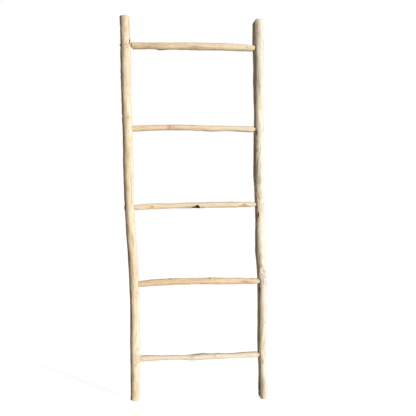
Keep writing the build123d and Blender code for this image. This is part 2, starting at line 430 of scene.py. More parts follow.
def give_marks(piece, branch, gap_shadows):
    """Stores on each point what the wood's material reads: grain, knots, stains, wear, and painted
    light and shade.
    """
    mesh = piece.data
    spots = np.zeros(len(mesh.vertices) * 3)
    mesh.vertices.foreach_get("co", spots)
    spots = spots.reshape(-1, 3)
    place, angle, distance = branch.from_world(spots)
    plain = branch.plain_radius(place, angle)
    skin = branch.radius(place, angle)
    fields = {name: np.zeros_like(place) for name in (*tints, "clean", "knot", "dark")}

    def lift(name, values):
        fields[name] = np.maximum(fields[name], values)

    along = place.copy()
    around = angle + branch.spiral * (place - branch.start)
    ring = np.full_like(place, far_ring)
    for mark in branch.knots:
        reach, across = branch.reach(place, angle, mark, plain)
        bend = np.exp(-((reach / swirl_reach) ** 2)) / np.maximum(reach, swirl_core) ** 2
        around = around - across / plain * bend
        along = along + (place - mark[0]) * bend
        lift("knot", mark[5] * smooth_step((knot_edge - reach) / knot_edge_span))
        ring = np.minimum(ring, reach)
    for at, degrees, length, width, strength, *tint in branch.stains:
        reach = branch.reach(place, angle, (at, degrees, length, width), plain)[0]
        lift(tint[0] if tint else "stain_and_shadow", strength * np.exp(-stain_fade * reach**2))
    # Cracks are darkened inside, a painted shadow
    for crack in branch.cracks:
        lift("dark", branch.crack_at(place, angle, crack, plain))
    # Hollows are darkened inside as painted shadow, with a brown halo round them that is partly
    # painted shade
    for *mark, _, darkness in branch.hollows:
        reach = branch.reach(place, angle, mark, plain)[0]
        lift("dark", darkness * smooth_step((hollow_edge - reach) / hollow_edge_span))
        lift("stain_and_shadow", halo_share * darkness * np.exp(-((reach / halo_reach) ** 2)))
    for edge, sign, length, strength in branch.ends:
        past = sign * (place - edge)
        lift("fresh_and_highlight", strength * smooth_step((length - past) / length))
    # Painted shadow in the gaps round the joints, on the side of the rail that each gap faces
    for middle_line, size, sign, strength in gap_shadows:
        gap = np.hypot(spots[:, 1] - middle_line[0], spots[:, 2] - middle_line[1]) - size
        facing = smooth_step((sign * np.sin(angle) - gap_shadow_facing_start) / gap_shadow_facing_span)
        rim = strength * np.exp(-((np.maximum(gap, 0) / gap_shadow_reach) ** 2))
        lift("dark", rim * facing)
    crest = skin - plain
    fields["ring"] = ring
    # Points inside the bores, which the material paints with shade
    fields["below"] = np.clip((skin - distance) / below_span, 0, 1)
    fields["crest"] = np.clip(0.5 + (crest - np.median(crest)) / crest_span, 0, 1)
    for name, values in fields.items():
        layer = mesh.attributes.new(name, "FLOAT", "POINT")
        layer.data.foreach_set("value", values.astype(np.float32))
    grain = np.stack([distance * np.sin(around), distance * np.cos(around), along], -1)
    layer = mesh.attributes.new("grain", "FLOAT_VECTOR", "POINT")
    layer.data.foreach_set("vector", grain.astype(np.float32).ravel())
    mesh.polygons.foreach_set("use_smooth", np.ones(len(mesh.polygons), bool))


class Shading:
    """A material that is built node by node."""

    def __init__(self, name):
        self.material = bpy.data.materials.new(name)
        self.material.use_nodes = True
        self.nodes = self.material.node_tree.nodes
        self.links = self.material.node_tree.links
        self.nodes.clear()
        self.surface = self.add("BsdfPrincipled")
        output = self.add("OutputMaterial")
        self.links.new(self.surface.outputs["BSDF"], output.inputs["Surface"])

    def add(self, kind):
        return self.nodes.new("ShaderNode" + kind)

    def set(self, socket, value):
        if isinstance(value, bpy.types.NodeSocket):
            self.links.new(value, socket)
        else:
            socket.default_value = value

    def read(self, name, output="Fac"):
        node = self.add("Attribute")
        node.attribute_name = name
        return node.outputs[output]

    def finish(self, values):
        """Puts numbers, colours and links on the shader's own sockets."""
        for name, value in values.items():
            self.set(self.surface.inputs[name], value)

    def bump(self, height, strength, distance):
        node = self.add("Bump")
        node.inputs["Strength"].default_value = strength
        node.inputs["Distance"].default_value = distance
        self.set(node.inputs["Height"], height)
        self.set(self.surface.inputs["Normal"], node.outputs["Normal"])

    def stretched(self, vector, across, along):
        node = self.add("VectorMath")
        node.operation = "MULTIPLY"
        self.set(node.inputs[0], vector)
        node.inputs[1].default_value = (across, across, along)
        return node.outputs[0]

    def noise(self, vector, detail=3.0, roughness=0.5, distortion=0.0):
        node = self.add("TexNoise")
        self.set(node.inputs["Vector"], vector)
        node.inputs["Scale"].default_value = 1.0
        node.inputs["Detail"].default_value = detail
        node.inputs["Roughness"].default_value = roughness
        node.inputs["Distortion"].default_value = distortion
        return node.outputs["Fac"]

    def spread(self, value, low, high, to_low=0.0, to_high=1.0):
        """Maps a range of a value to another range, and stops at its ends."""
        node = self.add("MapRange")
        node.interpolation_type = "SMOOTHSTEP"
        for socket, number in zip(node.inputs, (value, low, high, to_low, to_high)):
            self.set(socket, number)
        return node.outputs[0]

    def calc(self, operation, first, second):
        node = self.add("Math")
        node.operation = operation
        self.set(node.inputs[0], first)
        self.set(node.inputs[1], second)
        return node.outputs[0]

    def blend(self, amount, first, second):
        node = self.add("Mix")
        node.data_type = "RGBA"
        self.set(node.inputs["Factor"], amount)
        for socket, value in zip((node.inputs[6], node.inputs[7]), (first, second)):
            self.set(socket, value if isinstance(value, bpy.types.NodeSocket) else (*value, 1.0))
        return node.outputs[2]


# The colours of stains: brown sap, grey weathering, orange heartwood, fresh and bleached wood
# Some marks use them for painted light and shade: brown and grey for painted shadow, orange for a
# painted shading tone, fresh and bleached for painted highlights and lit patches
tints = {
    "stain_and_shadow": (0.3, 0.17, 0.08),
    "grey": (0.33, 0.29, 0.24),
    "orange": (0.74, 0.4, 0.17),
    "fresh_and_highlight": (0.98, 0.88, 0.68),
    "bleached_and_lit": (0.99, 0.97, 0.93),
}

# Noise in the wood: its scale across and along the grain, detail, roughness and distortion
wood_noise = {
    "band": (110, 5.0, 4.0, 0.6, 0.4),
    "fibre": (480, 14, 5.0, 0.65),
    "hair": (900, 20, 2.0, 0.5),
    "cloud": (45, 14, 3.0, 0.55),
    "fleck": (300, 26, 3.0, 0.6),
    "mottle": (160, 60, 3.0, 0.6),
    "growth": (130, 130, 2.0),
}
hair_start, hair_full = 0.36, 0.28
darker_share, end_share, bright_share = 0.62, 0.72, 1.05
worn_share, worn_lift = 1.06, 0.03
warm_shares = (0.97, 0.84, 0.7)
knot_colours = ((0.22, 0.1, 0.05), (0.5, 0.29, 0.15))
knot_ring_turns = 14.0
growth_turns = 3600.0
growth_sway = 0.003
# Painted shade on the walls of bores, and the near-black painted shadow in holes, cracks and gaps
bore_wall_shade_colour = (0.16, 0.09, 0.045)
recess_shadow_colour = (0.034, 0.009, 0.005)


def wood_material(name, pale, middle, deep, shift):
    """Peeled wood: broad bands and fine fibres along the grain, knots, stains, sawn ends."""
    wood = Shading(name)
    moved = wood.add("VectorMath")
    wood.set(moved.inputs[0], wood.read("grain", "Vector"))
    moved.inputs[1].default_value = (0.0, 0.0, shift)
    grain = moved.outputs[0]
    guides = {"crest": wood.read("crest")}
    for kind, (across, along, *rest) in wood_noise.items():
        guides[kind] = wood.noise(wood.stretched(grain, across, along), *rest)

    # Layers over the bands: the guide, its values at no cover and at the full cover, the cover
    darker = tuple(darker_share * part for part in deep)
    end_dark = tuple(end_share * part for part in deep)
    bright = tuple(min(1.0, bright_share * part) for part in pale)
    worn = tuple(min(1.0, worn_share * part + worn_lift) for part in pale)
    warm = tuple(share * part for share, part in zip(warm_shares, deep))
    layers = [
        ("cloud", 0.48, 0.75, 0.65, deep),
        ("fibre", 0.56, 0.74, 0.55, darker),
        ("hair", hair_start, hair_full, 0.45, darker),
        ("crest", 0.55, 1.0, 0.55, worn),
        ("crest", 0.4, 0.0, 0.5, darker),
        ("fleck", 0.55, 0.7, 0.7, warm),
        ("fleck", 0.46, 0.32, 0.7, worn),
    ]
    colour = wood.blend(wood.spread(guides["band"], 0.34, 0.62), middle, pale)
    for guide, start, full, cover, shade in layers:
        colour = wood.blend(wood.spread(guides[guide], start, full, 0.0, cover), colour, shade)

    # Clean and stained places, and knots with rings
    colour = wood.blend(wood.read("clean"), colour, bright)
    mottle = wood.spread(guides["mottle"], 0.35, 0.6, 0.45, 1.0)
    for tint, shade in tints.items():
        colour = wood.blend(wood.calc("MULTIPLY", wood.read(tint), mottle), colour, shade)
    wave = wood.calc("SINE", wood.calc("MULTIPLY", wood.read("ring"), knot_ring_turns), 0.0)
    knot_colour = wood.blend(wood.spread(wave, -0.8, 0.8), *knot_colours)
    colour = wood.blend(wood.read("knot"), colour, knot_colour)

    # Growth rings on the sawn ends, then painted shade in bores, holes, cracks and joint gaps
    separate = wood.add("SeparateXYZ")
    wood.set(separate.inputs[0], grain)
    squares = [wood.calc("POWER", separate.outputs[axis], 2.0) for axis in (0, 1)]
    heart = wood.calc("POWER", wood.calc("ADD", *squares), 0.5)
    heart = wood.calc("ADD", heart, wood.calc("MULTIPLY", guides["growth"], growth_sway))
    growth = wood.calc("SINE", wood.calc("MULTIPLY", heart, growth_turns), 0.0)
    end_colour = wood.blend(wood.spread(growth, -0.9, 0.9), end_dark, middle)
    covers = (("sawn", 0.85, end_colour), ("below", 0.75, bore_wall_shade_colour), ("dark", 0.97, recess_shadow_colour))
    for mark, cover, shade in covers:
        colour = wood.blend(wood.calc("MULTIPLY", wood.read(mark), cover), colour, shade)

    wood.finish({
        "Base Color": colour,
        "Roughness": wood.spread(guides["fibre"], 0.25, 0.75, 0.62, 0.86),
        "Specular IOR Level": 0.12,
        "Sheen Weight": 0.1,
        "Sheen Roughness": 0.45,
    })
    fibre = wood.calc("MULTIPLY", guides["fibre"], 0.55)
    height = wood.calc("ADD", fibre, wood.calc("MULTIPLY", guides["band"], 0.45))
    furrow = wood.spread(guides["hair"], hair_start, hair_full, 0.0, 0.4)
    height = wood.calc("SUBTRACT", height, furrow)
    height = wood.calc("SUBTRACT", height, wood.calc("MULTIPLY", wood.read("knot"), 0.3))
    wood.bump(height, strength=0.7, distance=0.0009)
    return wood.material


def steel_material():
    """Dull steel nails, browned by age."""
    steel = Shading("nail_steel")
    place = steel.add("TexCoord").outputs["Object"]
    patch = steel.noise(steel.stretched(place, 900, 900), 4.0, 0.6)
    fine = steel.noise(steel.stretched(place, 4000, 4000), 2.0)
    rusty = steel.spread(patch, 0.4, 0.62)
    steel.finish({
        "Base Color": steel.blend(rusty, (0.2, 0.17, 0.15), (0.22, 0.085, 0.035)),
        "Metallic": steel.spread(patch, 0.4, 0.62, 0.9, 0.25),
        "Roughness": steel.spread(patch, 0.35, 0.65, 0.38, 0.8),
    })
    steel.bump(steel.calc("ADD", patch, fine), strength=0.6, distance=0.0002)
    return steel.material


# Joints, read from the nails
joints = {}
for number in range(1, rung_count + 1):
    for side in inward:
        low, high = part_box(f"nail_{number}_{side}")
        middle, height = (low + high) / 2, (low.z + high.z) / 2
        joints[number, side] = {"nail_box": (low, high), "nail": middle, "height": height}

# Rails: their seeds, the turn of their grain per metre, and how oval they are at some heights
rails = {}
for side, seed, spiral in (("left", 11, 0.5), ("right", 23, -0.9)):
    holes = [joints[number, side]["height"] for number in range(1, rung_count + 1)]
    rail = Branch(f"{side}_rail", True, seed, holes, joint_margin, rail_end_margin, rail_probe_step)
    rail.unevenness(0.0005, 0.00018, 0.0002, crease=0.0003, calm=0.02, planed=0.0004)
    rail.scatter_flats(54, (0.03, 0.16), (0.0003, 0.0011), 20)
    rail.spiral = spiral
    rails[side] = rail
left_rail, right_rail = rails["left"], rails["right"]
oval_degrees = 50
left_rail.oval = (
    (0.03, 0.14, 0.17, 0.19, 0.215, 0.245, 0.28, 0.32),
    (-0.03, -0.03, -0.01, -0.02, -0.07, -0.05, -0.03, 0.0),
    oval_degrees,
)
right_rail.oval = (
    (0.02, 0.07, 0.12, 0.15, 0.22, 0.29, 0.34, 0.39, 0.44, 0.49, 0.56, 0.63, 0.7, 0.76,
     0.8, 0.84, 0.87, 0.93, 0.98, 1.03, 1.11, 1.15, 1.19, 1.24, 1.29, 1.35, 1.4, 1.46),
    (0.1, 0.05, 0.0, -0.03, 0.01, 0.09, 0.09, 0.11, 0.07, 0.07, 0.05, 0.02, 0.0, -0.01,
     -0.05, 0.05, 0.1, 0.09, 0.06, 0.01, -0.04, 0.02, 0.07, 0.15, 0.09, 0.08, 0.11, 0.05),
    oval_degrees,
)

# How the rails' ends are cut: where a corner starts, its width and height, the slope to the front
left_rail.top = left_rail.foot = (0.0, 1.0, 0.0, 0.1)
# The right rail's sawn top corner is read from its node, and its foot's corner is knocked off
slant_spots = (0.004, 0.009)
slant_probe = 0.1
foot_corner = (0.01, 0.011)
top_side, top_y, top_half = right_rail.at(right_rail.end)[:3]
corner = top_side - top_half
near_x, far_x = (corner + spot for spot in slant_spots)
above = right_rail.end + slant_probe
down = Vector((0, 0, -1))
near_z, far_z = (
    right_rail.tree.ray_cast(Vector((x, top_y, above)), down)[0].z for x in (near_x, far_x)
)
slope = (far_z - near_z) / (far_x - near_x)
cut_height = right_rail.end - near_z + slope * (near_x - corner)
right_rail.top = (corner, cut_height / slope, cut_height, 0.0)
foot_side, _, foot_half = right_rail.at(right_rail.start)[:3]
right_rail.foot = (foot_side - foot_half, *foot_corner, 0.0)

# Marks on the left rail: knots (height, angle, half length, half width, rise, darkness)
left_rail.knots += [
    (1.187, 33, 0.0045, 0.0035, 0.0006, 0.35),
    (1.099, 20, 0.008, 0.006, 0.001, 0.25),
    (1.088, -80, 0.01, 0.007, 0.0012, 0.3),
    (0.744, -60, 0.007, 0.005, 0.0008, 0.35),
    (0.612, 23, 0.006, 0.003, 0.0004, 0.25),
    (0.14, 9, 0.006, 0.005, 0.0008, 0.4),
    (0.2, 36, 0.008, 0.006, 0.0008, 0.2),
    (1.385, 46, 0.0026, 0.0022, 0.0002, 0.85),
    (1.371, 26, 0.0026, 0.0022, 0.0002, 0.85),
    (1.379, 52, 0.0026, 0.0022, 0.0002, 0.75),
    (1.364, 40, 0.0024, 0.002, 0.0002, 0.65),
    (1.355, 34, 0.0022, 0.0018, 0.0002, 0.55),
    (1.399, 36, 0.0022, 0.0018, 0.0002, 0.5),
    (1.26, -85, 0.005, 0.005, 0.0012, 0.2),
    (1.172, -85, 0.005, 0.005, 0.0012, 0.2),
    (1.123, -85, 0.004, 0.004, 0.0008, 0.15),
    (0.9, 150, 0.009, 0.006, 0.001, 0.75),
    (1.3, 190, 0.006, 0.0045, 0.0007, 0.7),
    (0.35, 200, 0.008, 0.0055, 0.0009, 0.65),
]
# Stains, and some painted light and shade as noted (height, angle, half length, half width, strength,
# and a tint unless it is brown)
left_rail.stains += [
    (0.446, -9, 0.03, 0.003, 0.45),
    (0.131, 20, 0.006, 0.003, 0.35),
    (0.184, 51, 0.003, 0.003, 1.0, "bleached_and_lit"),
    (0.159, 47, 0.003, 0.003, 1.0, "bleached_and_lit"),
    (1.392, 44, 0.006, 0.0024, 0.8, "bleached_and_lit"),
    (0.172, 30, 0.02, 0.01, 0.3),
    (0.958, 5, 0.03, 0.012, 0.45),
    (1.1, 22, 0.022, 0.008, 0.35),
    (0.608, 23, 0.022, 0.003, 0.6),
    (0.492, 4, 0.022, 0.0035, 0.55),
    (0.45, -3, 0.018, 0.0035, 0.5),
    (0.25, 10, 0.045, 0.003, 0.45),
    (0.262, 24, 0.035, 0.002, 0.45),
    (0.155, 20, 0.02, 0.005, 0.4),
    (1.378, 30, 0.016, 0.01, 0.35),
    (0.03, 0, 0.03, 0.03, 0.12, "grey"),
    (1.277, 0, 0.07, 0.05, 0.12),
    (0.5, 25, 0.07, 0.03, 0.3),
    (1.325, 20, 0.035, 0.03, 0.16),
    # Pale patches on the shaded left side, painted light
    (1.055, -62, 0.045, 0.014, 0.8, "bleached_and_lit"),
    (0.715, -62, 0.035, 0.012, 0.7, "bleached_and_lit"),
    (0.254, -5, 0.06, 0.04, 0.75, "clean"),
    (0.075, 15, 0.05, 0.03, 0.12),
    (1.48, 10, 0.03, 0.02, 0.2, "grey"),
    # An orange tint the whole length of the half-lit side, a painted shading tone
    (0.75, -42, 1.0, 0.011, 0.17, "orange"),
    (0.745, 5, 0.035, 0.014, 0.24, "orange"),
    # An orange tint on the half-lit side by the second joint, a painted shading tone
    (1.062, -32, 0.04, 0.012, 0.28, "orange"),
    (0.32, 0, 0.03, 0.012, 0.12, "orange"),
]
# Chatter marks of the knife on the left rail's outer edge
chatter_rng = np.random.default_rng(5)
chatter_top, chatter_step, chatter_count, chatter_sway = 1.455, 0.0095, 11, 0.002
for step in range(chatter_count):
    sway = chatter_rng.uniform(-chatter_sway, chatter_sway)
    height = chatter_top - chatter_step * step + sway
    depth = chatter_rng.uniform(0.0006, 0.0015)
    left_rail.dents.append((height, -88, 0.003, 0.013, depth))
for height in (1.268, 1.247, 1.204, 1.15, 1.138, 1.11, 1.075, 1.052):
    depth = chatter_rng.uniform(0.0005, 0.0011)
    left_rail.dents.append((height, -86, 0.0035, 0.011, depth))
# Hollows over the top rung's joint, a painted shadow (height, angle, half length, half width, depth,
# darkness)
top_joint = joints[1, "left"]["height"]
left_rail.hollows += [
    (top_joint + 0.016, 70, 0.008, 0.004, 0.0008, 0.9),
    (top_joint + 0.007, 56, 0.005, 0.0028, 0.0006, 0.7),
]
# Cracks, darkened inside as painted shadow (height, angle, half length, half width, depth, lean)
left_rail.cracks += [
    (1.44, 60, 0.06, 0.001, 0.0012, 6),
    (0.3, -35, 0.09, 0.0009, 0.001, -8),
    (0.82, 40, 0.07, 0.0008, 0.0009, 5),
    (1.0, 175, 0.12, 0.0011, 0.0014, 8),
    (0.06, 120, 0.06, 0.0012, 0.0016, 4),
]
# Marks on the right rail
right_rail.knots += [
    (1.214, 15, 0.005, 0.004, 0.0006, 0.25),
    (0.715, -24, 0.0105, 0.005, 0.0008, 0.6),
    (0.966, -28, 0.006, 0.0045, -0.0006, 0.3),
    (0.846, 84, 0.008, 0.008, -0.0014, 0.1),
    (0.301, 42, 0.006, 0.005, 0.0008, 0.3),
    (0.251, 72, 0.006, 0.005, 0.0008, 0.3),
    (1.12, 170, 0.008, 0.0055, 0.0009, 0.75),
    (0.56, 200, 0.009, 0.006, 0.001, 0.7),
    (0.18, 140, 0.006, 0.0045, 0.0007, 0.7),
]
right_rail.hollows += [
    (0.716, -24, 0.0095, 0.0036, 0.0012, 0.75),
    # Below the second rung's tip: a hollow darkened as painted shadow
    (1.034, -34, 0.009, 0.0055, 0.0008, 0.45),
]
right_rail.stains += [
    (1.415, -6, 0.016, 0.01, 0.5, "grey"),
    # The next two brown marks below the tips of the second and third rungs are painted shadow
    (1.036, -32, 0.014, 0.007, 0.8),
    (0.748, -40, 0.01, 0.006, 0.7),
    (0.424, -40, 0.016, 0.006, 0.8),
    (0.966, -28, 0.016, 0.009, 0.35),
    (0.79, 10, 0.02, 0.012, 0.65),
    (1.04, 20, 0.03, 0.02, 0.24),
    (0.945, 15, 0.03, 0.03, 0.6, "clean"),
    (0.59, 20, 0.016, 0.02, 0.22),
    (0.216, 10, 0.04, 0.03, 0.3),
    # The next four brown marks darken the shaded left side, partly weathering and partly painted
    # shade
    (0.05, -75, 0.06, 0.013, 0.95),
    (0.965, -75, 0.08, 0.011, 0.65),
    (0.72, -75, 0.07, 0.011, 0.5),
    (0.586, -75, 0.025, 0.01, 0.4),
    (0.149, 0, 0.024, 0.009, 0.7),
    (0.285, 10, 0.09, 0.04, 0.14),
    (0.715, -24, 0.022, 0.009, 0.4),
    (0.045, 0, 0.055, 0.04, 0.42, "grey"),
    (0.73, 25, 0.05, 0.024, 0.2),
    (0.555, 20, 0.016, 0.02, 0.3),
    (0.85, 14, 0.026, 0.011, 0.42),
    (0.64, 20, 0.04, 0.03, 0.3, "clean"),
    # A grey strip the whole length of the shaded left side, partly weathering and partly painted
    # shade
    (0.74, -82, 1.0, 0.016, 0.3, "grey"),
    (1.45, 0, 0.03, 0.02, 0.25, "grey"),
    # An orange tint the whole length of the half-lit side, a painted shading tone
    (0.74, -30, 1.0, 0.009, 0.1, "orange"),
    # An orange and a cream tint on the lit right side, a painted highlight tone
    (0.99, 72, 0.3, 0.01, 0.26, "orange"),
    (0.96, 66, 0.32, 0.011, 0.45, "fresh_and_highlight"),
    (0.8, 45, 0.06, 0.014, 0.2, "orange"),
    (0.712, 35, 0.016, 0.014, 0.14),
    # A brown streak along the half-lit side, a painted shading tone
    (0.9, -22, 0.11, 0.005, 0.35),
    # An orange tint on the lit right side, a painted highlight tone
    (0.655, 72, 0.05, 0.009, 0.2, "orange"),
    (0.472, 15, 0.022, 0.024, 0.3, "bleached_and_lit"),
]
right_rail.cracks += [
    (0.795, -18, 0.026, 0.0014, 0.0008, -18),
    (0.806, 14, 0.02, 0.001, 0.0006, -10),
    (0.941, -1, 0.062, 0.001, 0.0008, 32),
    (1.33, 50, 0.08, 0.001, 0.0012, 6),
    (0.42, 60, 0.09, 0.0009, 0.001, -6),
    (0.64, 185, 0.11, 0.0011, 0.0014, 8),
    (0.07, -110, 0.07, 0.0012, 0.0016, 4),
]
# A rough, pitted stretch above and below the fourth rung's joint
pit_rng = np.random.default_rng(31)
pit_count = 70
pit_heights, pit_degrees = (0.43, 0.52), (-50, 60)
pit_sizes, pit_depths = (0.0026, 0.0048), (-0.0012, 0.002)
grey_depth = 0.0006
pale_rise = -0.0004
for _ in range(pit_count):
    height, degrees = pit_rng.uniform(*pit_heights), pit_rng.uniform(*pit_degrees)
    size, depth = pit_rng.uniform(*pit_sizes), pit_rng.uniform(*pit_depths)
    right_rail.dents.append((height, degrees, 1.5 * size, size, depth))
    if depth > grey_depth:
        right_rail.stains.append((height, degrees, 1.4 * size, size, 0.26, "grey"))
    elif depth < pale_rise:
        right_rail.stains.append((height, degrees, 1.2 * size, size, 0.8, "bleached_and_lit"))
# Stretches that are planed flatter (height, angle, half length, depth, and a twist if any)
left_rail.flats += [
    (1.312, 90, 0.05, 0.0012),
    (1.055, -24, 0.05, 0.001),
    (0.715, -28, 0.042, 0.0012),
    (0.69, -90, 0.05, 0.0015),
    (0.492, -90, 0.045, 0.0015),
    (0.492, 90, 0.04, 0.0012),
    (0.023, -90, 0.04, 0.001),
    (0.023, 90, 0.04, 0.001),
]
right_rail.flats += [
    (1.281, 90, 0.07, 0.001),
    (1.43, -90, 0.06, 0.0014),
    (0.955, -90, 0.07, 0.0013),
    (0.38, -90, 0.06, 0.0015),
    (1.116, -90, 0.05, 0.0016),
    (0.827, -90, 0.04, 0.0015),
    (0.523, -90, 0.05, 0.0012),
    (0.389, 90, 0.045, 0.0035),
    (0.06, -20, 0.05, 0.0016, 4),
    (0.941, 20, 0.07, 0.0013, 60),
]

# Rungs, each with its own seed and turn of its grain per metre
first_seed, seed_step = 100, 7
rung_spirals = (0.8, -1.2, 0.6, 1.4, -0.7)
flat_reach = 0.19
rungs = {}
for number, spiral in enumerate(rung_spirals, 1):
    holes = [joints[number, side]["nail"].x for side in inward]
    seed = first_seed + seed_step * number
    rung = Branch(f"rung_{number}", False, seed, holes, nail_margin, rung_end_margin, rung_probe_step)
    rung.unevenness(0.0005, 0.0002, 0.0002, crease=0.00025, calm=0.06, planed=0.0)
    rung.scatter_flats(34, (0.02, 0.09), (0.0003, 0.0012), 20)
    rung.flats = [flat for flat in rung.flats if abs(flat[0]) < flat_reach]
    rung.spiral = spiral
    rungs[number] = rung
# Marks on the rungs, in the same columns as the rails' marks, with X for the height
rungs[1].knots += [
    (-0.123, -70, 0.007, 0.005, 0.0009, 0.4),
    (0.156, 10, 0.004, 0.003, 0.0005, 0.25),
    (0.214, 3, 0.003, 0.0026, 0.0002, 0.45),
    (0.225, -8, 0.0024, 0.002, 0.0002, 0.45),
]
rungs[1].stains += [
    (0.006, -32, 0.022, 0.0065, 0.55),
    (0.2, 5, 0.07, 0.03, 0.35, "fresh_and_highlight"),
    (0.224, -22, 0.012, 0.006, 0.3),
    # The next two brown marks under the left end are painted shade
    (-0.222, -45, 0.026, 0.012, 0.65),
    (-0.24, -40, 0.009, 0.014, 0.8),
    (-0.17, -25, 0.06, 0.005, 0.4, "orange"),
    (0.17, 15, 0.11, 0.024, 0.8, "clean"),
    (-0.17, 0, 0.09, 0.05, 0.34),
    (-0.05, 0, 0.04, 0.05, 0.12),
]
# Hollows on top of the left end, darkened as painted shadow where the rung meets the rail
rungs[1].hollows += [
    (-0.229, 66, 0.003, 0.004, 0.0012, 0.9),
    (-0.216, 80, 0.005, 0.003, 0.0008, 0.7),
]
rungs[1].dents += [
    (-0.128, -100, 0.007, 0.008, -0.0014),
    (-0.002, -100, 0.008, 0.008, -0.0012),
    (-0.015, 90, 0.055, 0.015, -0.0016),
]
rungs[1].flats += [
    (0.1, -105, 0.075, 0.0035),
    (-0.16, -105, 0.03, 0.002),
    (-0.08, -105, 0.035, 0.0016),
]
rungs[2].knots += [(-0.085, -3, 0.01, 0.0085, 0.0004, 0.2)]
rungs[2].stains += [
    (0.18, 0, 0.12, 0.05, 1.0, "clean"),
    (0.17, 5, 0.1, 0.05, 0.75, "fresh_and_highlight"),
    (0.228, -5, 0.012, 0.006, 0.35, "orange"),
    (-0.095, 5, 0.0085, 0.024, 0.7, "orange"),
    (-0.09, 0, 0.004, 0.02, 0.35),
    (0.073, -60, 0.018, 0.006, 0.5, "grey"),
    # The next two dark marks at the right end are painted shadow by the rail
    (0.222, 8, 0.009, 0.003, 0.45),
    (0.238, 38, 0.004, 0.004, 0.9),
]
rungs[2].dents += [
    (0.018, -90, 0.01, 0.01, -0.002),
    (-0.22, -90, 0.008, 0.01, -0.0018),
]
rungs[3].knots += [
    (-0.162, -6, 0.0065, 0.0055, 0.0006, 0.28),
    (0.033, -50, 0.007, 0.005, 0.0009, 0.35),
    (0.192, -10, 0.0095, 0.0065, -0.001, 0.35),
]
rungs[3].stains += [
    (0.13, 10, 0.13, 0.03, 0.55, "clean"),
    (0.185, -30, 0.014, 0.006, 1.0, "orange"),
    (-0.167, -8, 0.01, 0.007, 0.7, "orange"),
    (0.183, -32, 0.007, 0.0035, 0.7),
    (0.2, -22, 0.012, 0.0025, 0.6),
]
# A knot hole; its near-black inside is painted shadow
rungs[3].hollows += [
    (0.005, -60, 0.0175, 0.0078, 0.003, 1.0),
    (0.011, -34, 0.0085, 0.0058, 0.007, 1.0),
]
rungs[3].dents += [
    (0.16, -85, 0.014, 0.01, -0.002),
    (0.02, -85, 0.018, 0.009, -0.002),
]
rungs[3].flats += [(-0.11, 90, 0.08, 0.0016)]
rungs[4].knots += [
    (-0.098, 62, 0.006, 0.005, 0.0009, 0.55),
    (0.056, 58, 0.007, 0.006, 0.0009, 0.65),
]
rungs[4].stains += [
    (0.13, 0, 0.09, 0.04, 0.5, "clean"),
    (-0.16, 0, 0.09, 0.05, 0.12),
    (0.01, 0, 0.05, 0.05, 0.12),
    (0.19, -14, 0.02, 0.007, 1.0, "orange"),
    (-0.225, 10, 0.02, 0.006, 0.4, "orange"),
]
rungs[4].dents += [(0.12, -90, 0.06, 0.02, -0.0012)]
rungs[4].flats += [
    (-0.03, 98, 0.15, 0.0024),
    (0.125, 98, 0.075, 0.003),
    (-0.205, 98, 0.035, 0.002),
    (0.196, 96, 0.028, 0.0028),
]
rungs[5].knots += [
    (-0.008, 12, 0.007, 0.006, 0.001, 0.08),
    (0.074, 4, 0.006, 0.005, 0.001, 0.2),
]
rungs[5].stains += [
    (0.12, 0, 0.16, 0.03, 0.5, "clean"),
    (-0.13, 0, 0.09, 0.05, 0.09),
    (-0.017, 10, 0.004, 0.012, 0.4),
    (0.003, 0, 0.011, 0.006, 1.0, "bleached_and_lit"),
    (0.04, 60, 0.007, 0.006, 0.4, "grey"),
    # A grey strip along the top, painted shade
    (0.0, 74, 0.3, 0.005, 0.65, "grey"),
    # A thin pale streak along the front, a painted highlight
    (0.03, 10, 0.17, 0.004, 0.5, "bleached_and_lit"),
]
rungs[5].dents += [
    (-0.018, -74, 0.012, 0.01, -0.0018),
    (0.02, 100, 0.01, 0.01, -0.001),
]
rungs[5].flats += [
    (-0.12, 106, 0.08, 0.0026),
    (-0.05, 106, 0.05, 0.003),
    (0.06, 106, 0.03, 0.003),
    (0.125, 106, 0.06, 0.0022),
    (0.15, -74, 0.05, 0.0014),
]

# Whittled ends: knife cuts and a taper at each end, and tenons trimmed a little
whittle_rng = np.random.default_rng(77)
whittle_faces = 8
whittle_turn = 360 / whittle_faces
whittle_sway = 8
whittle_halves, whittle_depths = (0.007, 0.014), (0.0004, 0.0011)
whittle_shift = 0.006
taper_length = 0.026
taper_inset = 0.006
tapers = {"left": (0.0, 0.04, 0.08, 0.08, 0.08), "right": (0.11, 0.15, 0.08, 0.11, 0.13)}
# How far fresh wood shows from the rail, and how strongly
fresh_ends = {"left": (0.01, 0.3), "right": (0.016, 0.75)}
for number, rung in rungs.items():
    for side, sign in inward.items():
        across = rails[side].at(joints[number, side]["height"])
        edge = float(across[0] + sign * across[2])
        joints[number, side]["edge"] = edge
        turn = whittle_rng.uniform(0, whittle_turn)
        for face in range(whittle_faces):
            degrees = turn + whittle_turn * face + whittle_rng.uniform(-whittle_sway, whittle_sway)
            half = whittle_rng.uniform(*whittle_halves)
            depth = whittle_rng.uniform(*whittle_depths)
            middle = edge + sign * whittle_rng.uniform(0.0, whittle_shift)
            rung.whittle.append((middle, degrees, half, depth))
        share = tapers[side][number - 1]
        rung.tapers.append((edge - sign * taper_inset, sign, taper_length, share))
        rung.ends.append((edge, sign, *fresh_ends[side]))
    rung.start += flush_trim
    rung.end -= flush_trim
    rung.stains.append((rung.end, 90, 0.012, 0.06, 0.6, "bleached_and_lit"))
    # A brown darkening at each rung's left end, painted shade where it meets the left rail
    rung.stains.append((rung.start, 0, 0.055, 0.06, 0.32))

# The top rung's left end is cut to a smaller neck that sits high, with a slant below it
neck_offset = 0.0042
neck_size = 0.0048
neck_slope = 1.35
neck_depth = 0.001
rungs[1].neck = (joints[1, "left"]["edge"] - neck_depth, neck_offset, neck_size, neck_slope)

